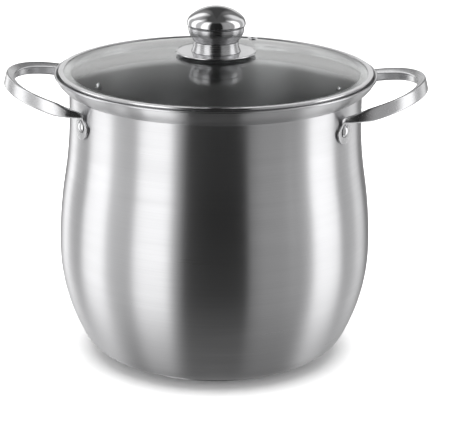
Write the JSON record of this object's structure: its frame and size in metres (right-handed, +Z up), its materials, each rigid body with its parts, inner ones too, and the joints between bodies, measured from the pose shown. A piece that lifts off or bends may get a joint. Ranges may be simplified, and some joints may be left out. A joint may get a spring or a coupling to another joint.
{
  "type": "water bath canner",
  "caption": "Belly-shaped stainless water bath canner with flared rim, riveted strap handles, glass lid with steel knob, and a lift-out wire jar rack with folding bails.",
  "frame": {"origin": "middle of the flat base, on the surface the canner stands on", "axes": "+Z up the pot's axis, +X from the pot's middle to the right handle, -Y towards a person at the front"},
  "size_m": [0.4232, 0.3213, 0.3555],
  "materials": {
    "pot_steel": "brushed round the pot, satin",
    "base_steel": "satin, turned",
    "core_aluminium": "rolled, mill finish",
    "handle_steel": "fine brushed along the strap, half polished",
    "rivet_steel": "pressed, half polished",
    "lid_glass": "clear tempered glass",
    "band_steel": "polished stainless",
    "knob_polished": "mirror polished stainless",
    "knob_brushed": "turned, fine rings",
    "insert_brass": "machined",
    "silicone": "matte silicone",
    "fastener_steel": "zinc-free stainless fastener",
    "rack_wire": "electropolished wire"
  },
  "bodies": {
    "pot": {"pot_shell": "pot_steel", "base_core": "core_aluminium", "base_cap": "base_steel", "left_handle": "handle_steel", "right_handle": "handle_steel", "left_handle_rivets": "rivet_steel", "right_handle_rivets": "rivet_steel"},
    "lid": {"lid_glass": "lid_glass", "lid_rim_band": "band_steel", "vent_eyelet": "band_steel", "knob_cap": "knob_polished", "knob_body": "knob_brushed", "knob_collar": "knob_brushed", "knob_insert": "insert_brass", "knob_plate": "knob_polished", "upper_gasket": "silicone", "lower_gasket": "silicone", "lower_washer": "fastener_steel", "knob_screw": "fastener_steel"},
    "rack": {"rack_outer_ring": "rack_wire", "rack_inner_ring": "rack_wire", "rack_spokes": "rack_wire", "rack_feet": "rack_wire", "rack_hinge_eyes": "rack_wire"},
    "bail_left": {"rack_bail_left": "rack_wire"},
    "bail_right": {"rack_bail_right": "rack_wire"}
  },
  "joints": [
    {"name": "lid_lift", "type": "slide", "parent": "pot", "child": "lid", "axis": [0, 0, 1], "range_m": [0, 0.4]},
    {"name": "rack_lift", "type": "slide", "parent": "pot", "child": "rack", "axis": [0, 0, 1], "range_m": [0, 0.301]},
    {"name": "bail_left_fold", "type": "hinge", "parent": "rack", "child": "bail_left", "pos_m": [-0.1, 0, 0.0313], "axis": [0, -1, 0], "range_deg": [0, 90]},
    {"name": "bail_right_fold", "type": "hinge", "parent": "rack", "child": "bail_right", "pos_m": [0.1, 0, 0.0313], "axis": [0, 1, 0], "range_deg": [0, 90]}
  ],
  "couplings": [
    {"joint": "rack_lift", "follows": "lid_lift", "ratio": 0.75}
  ]
}
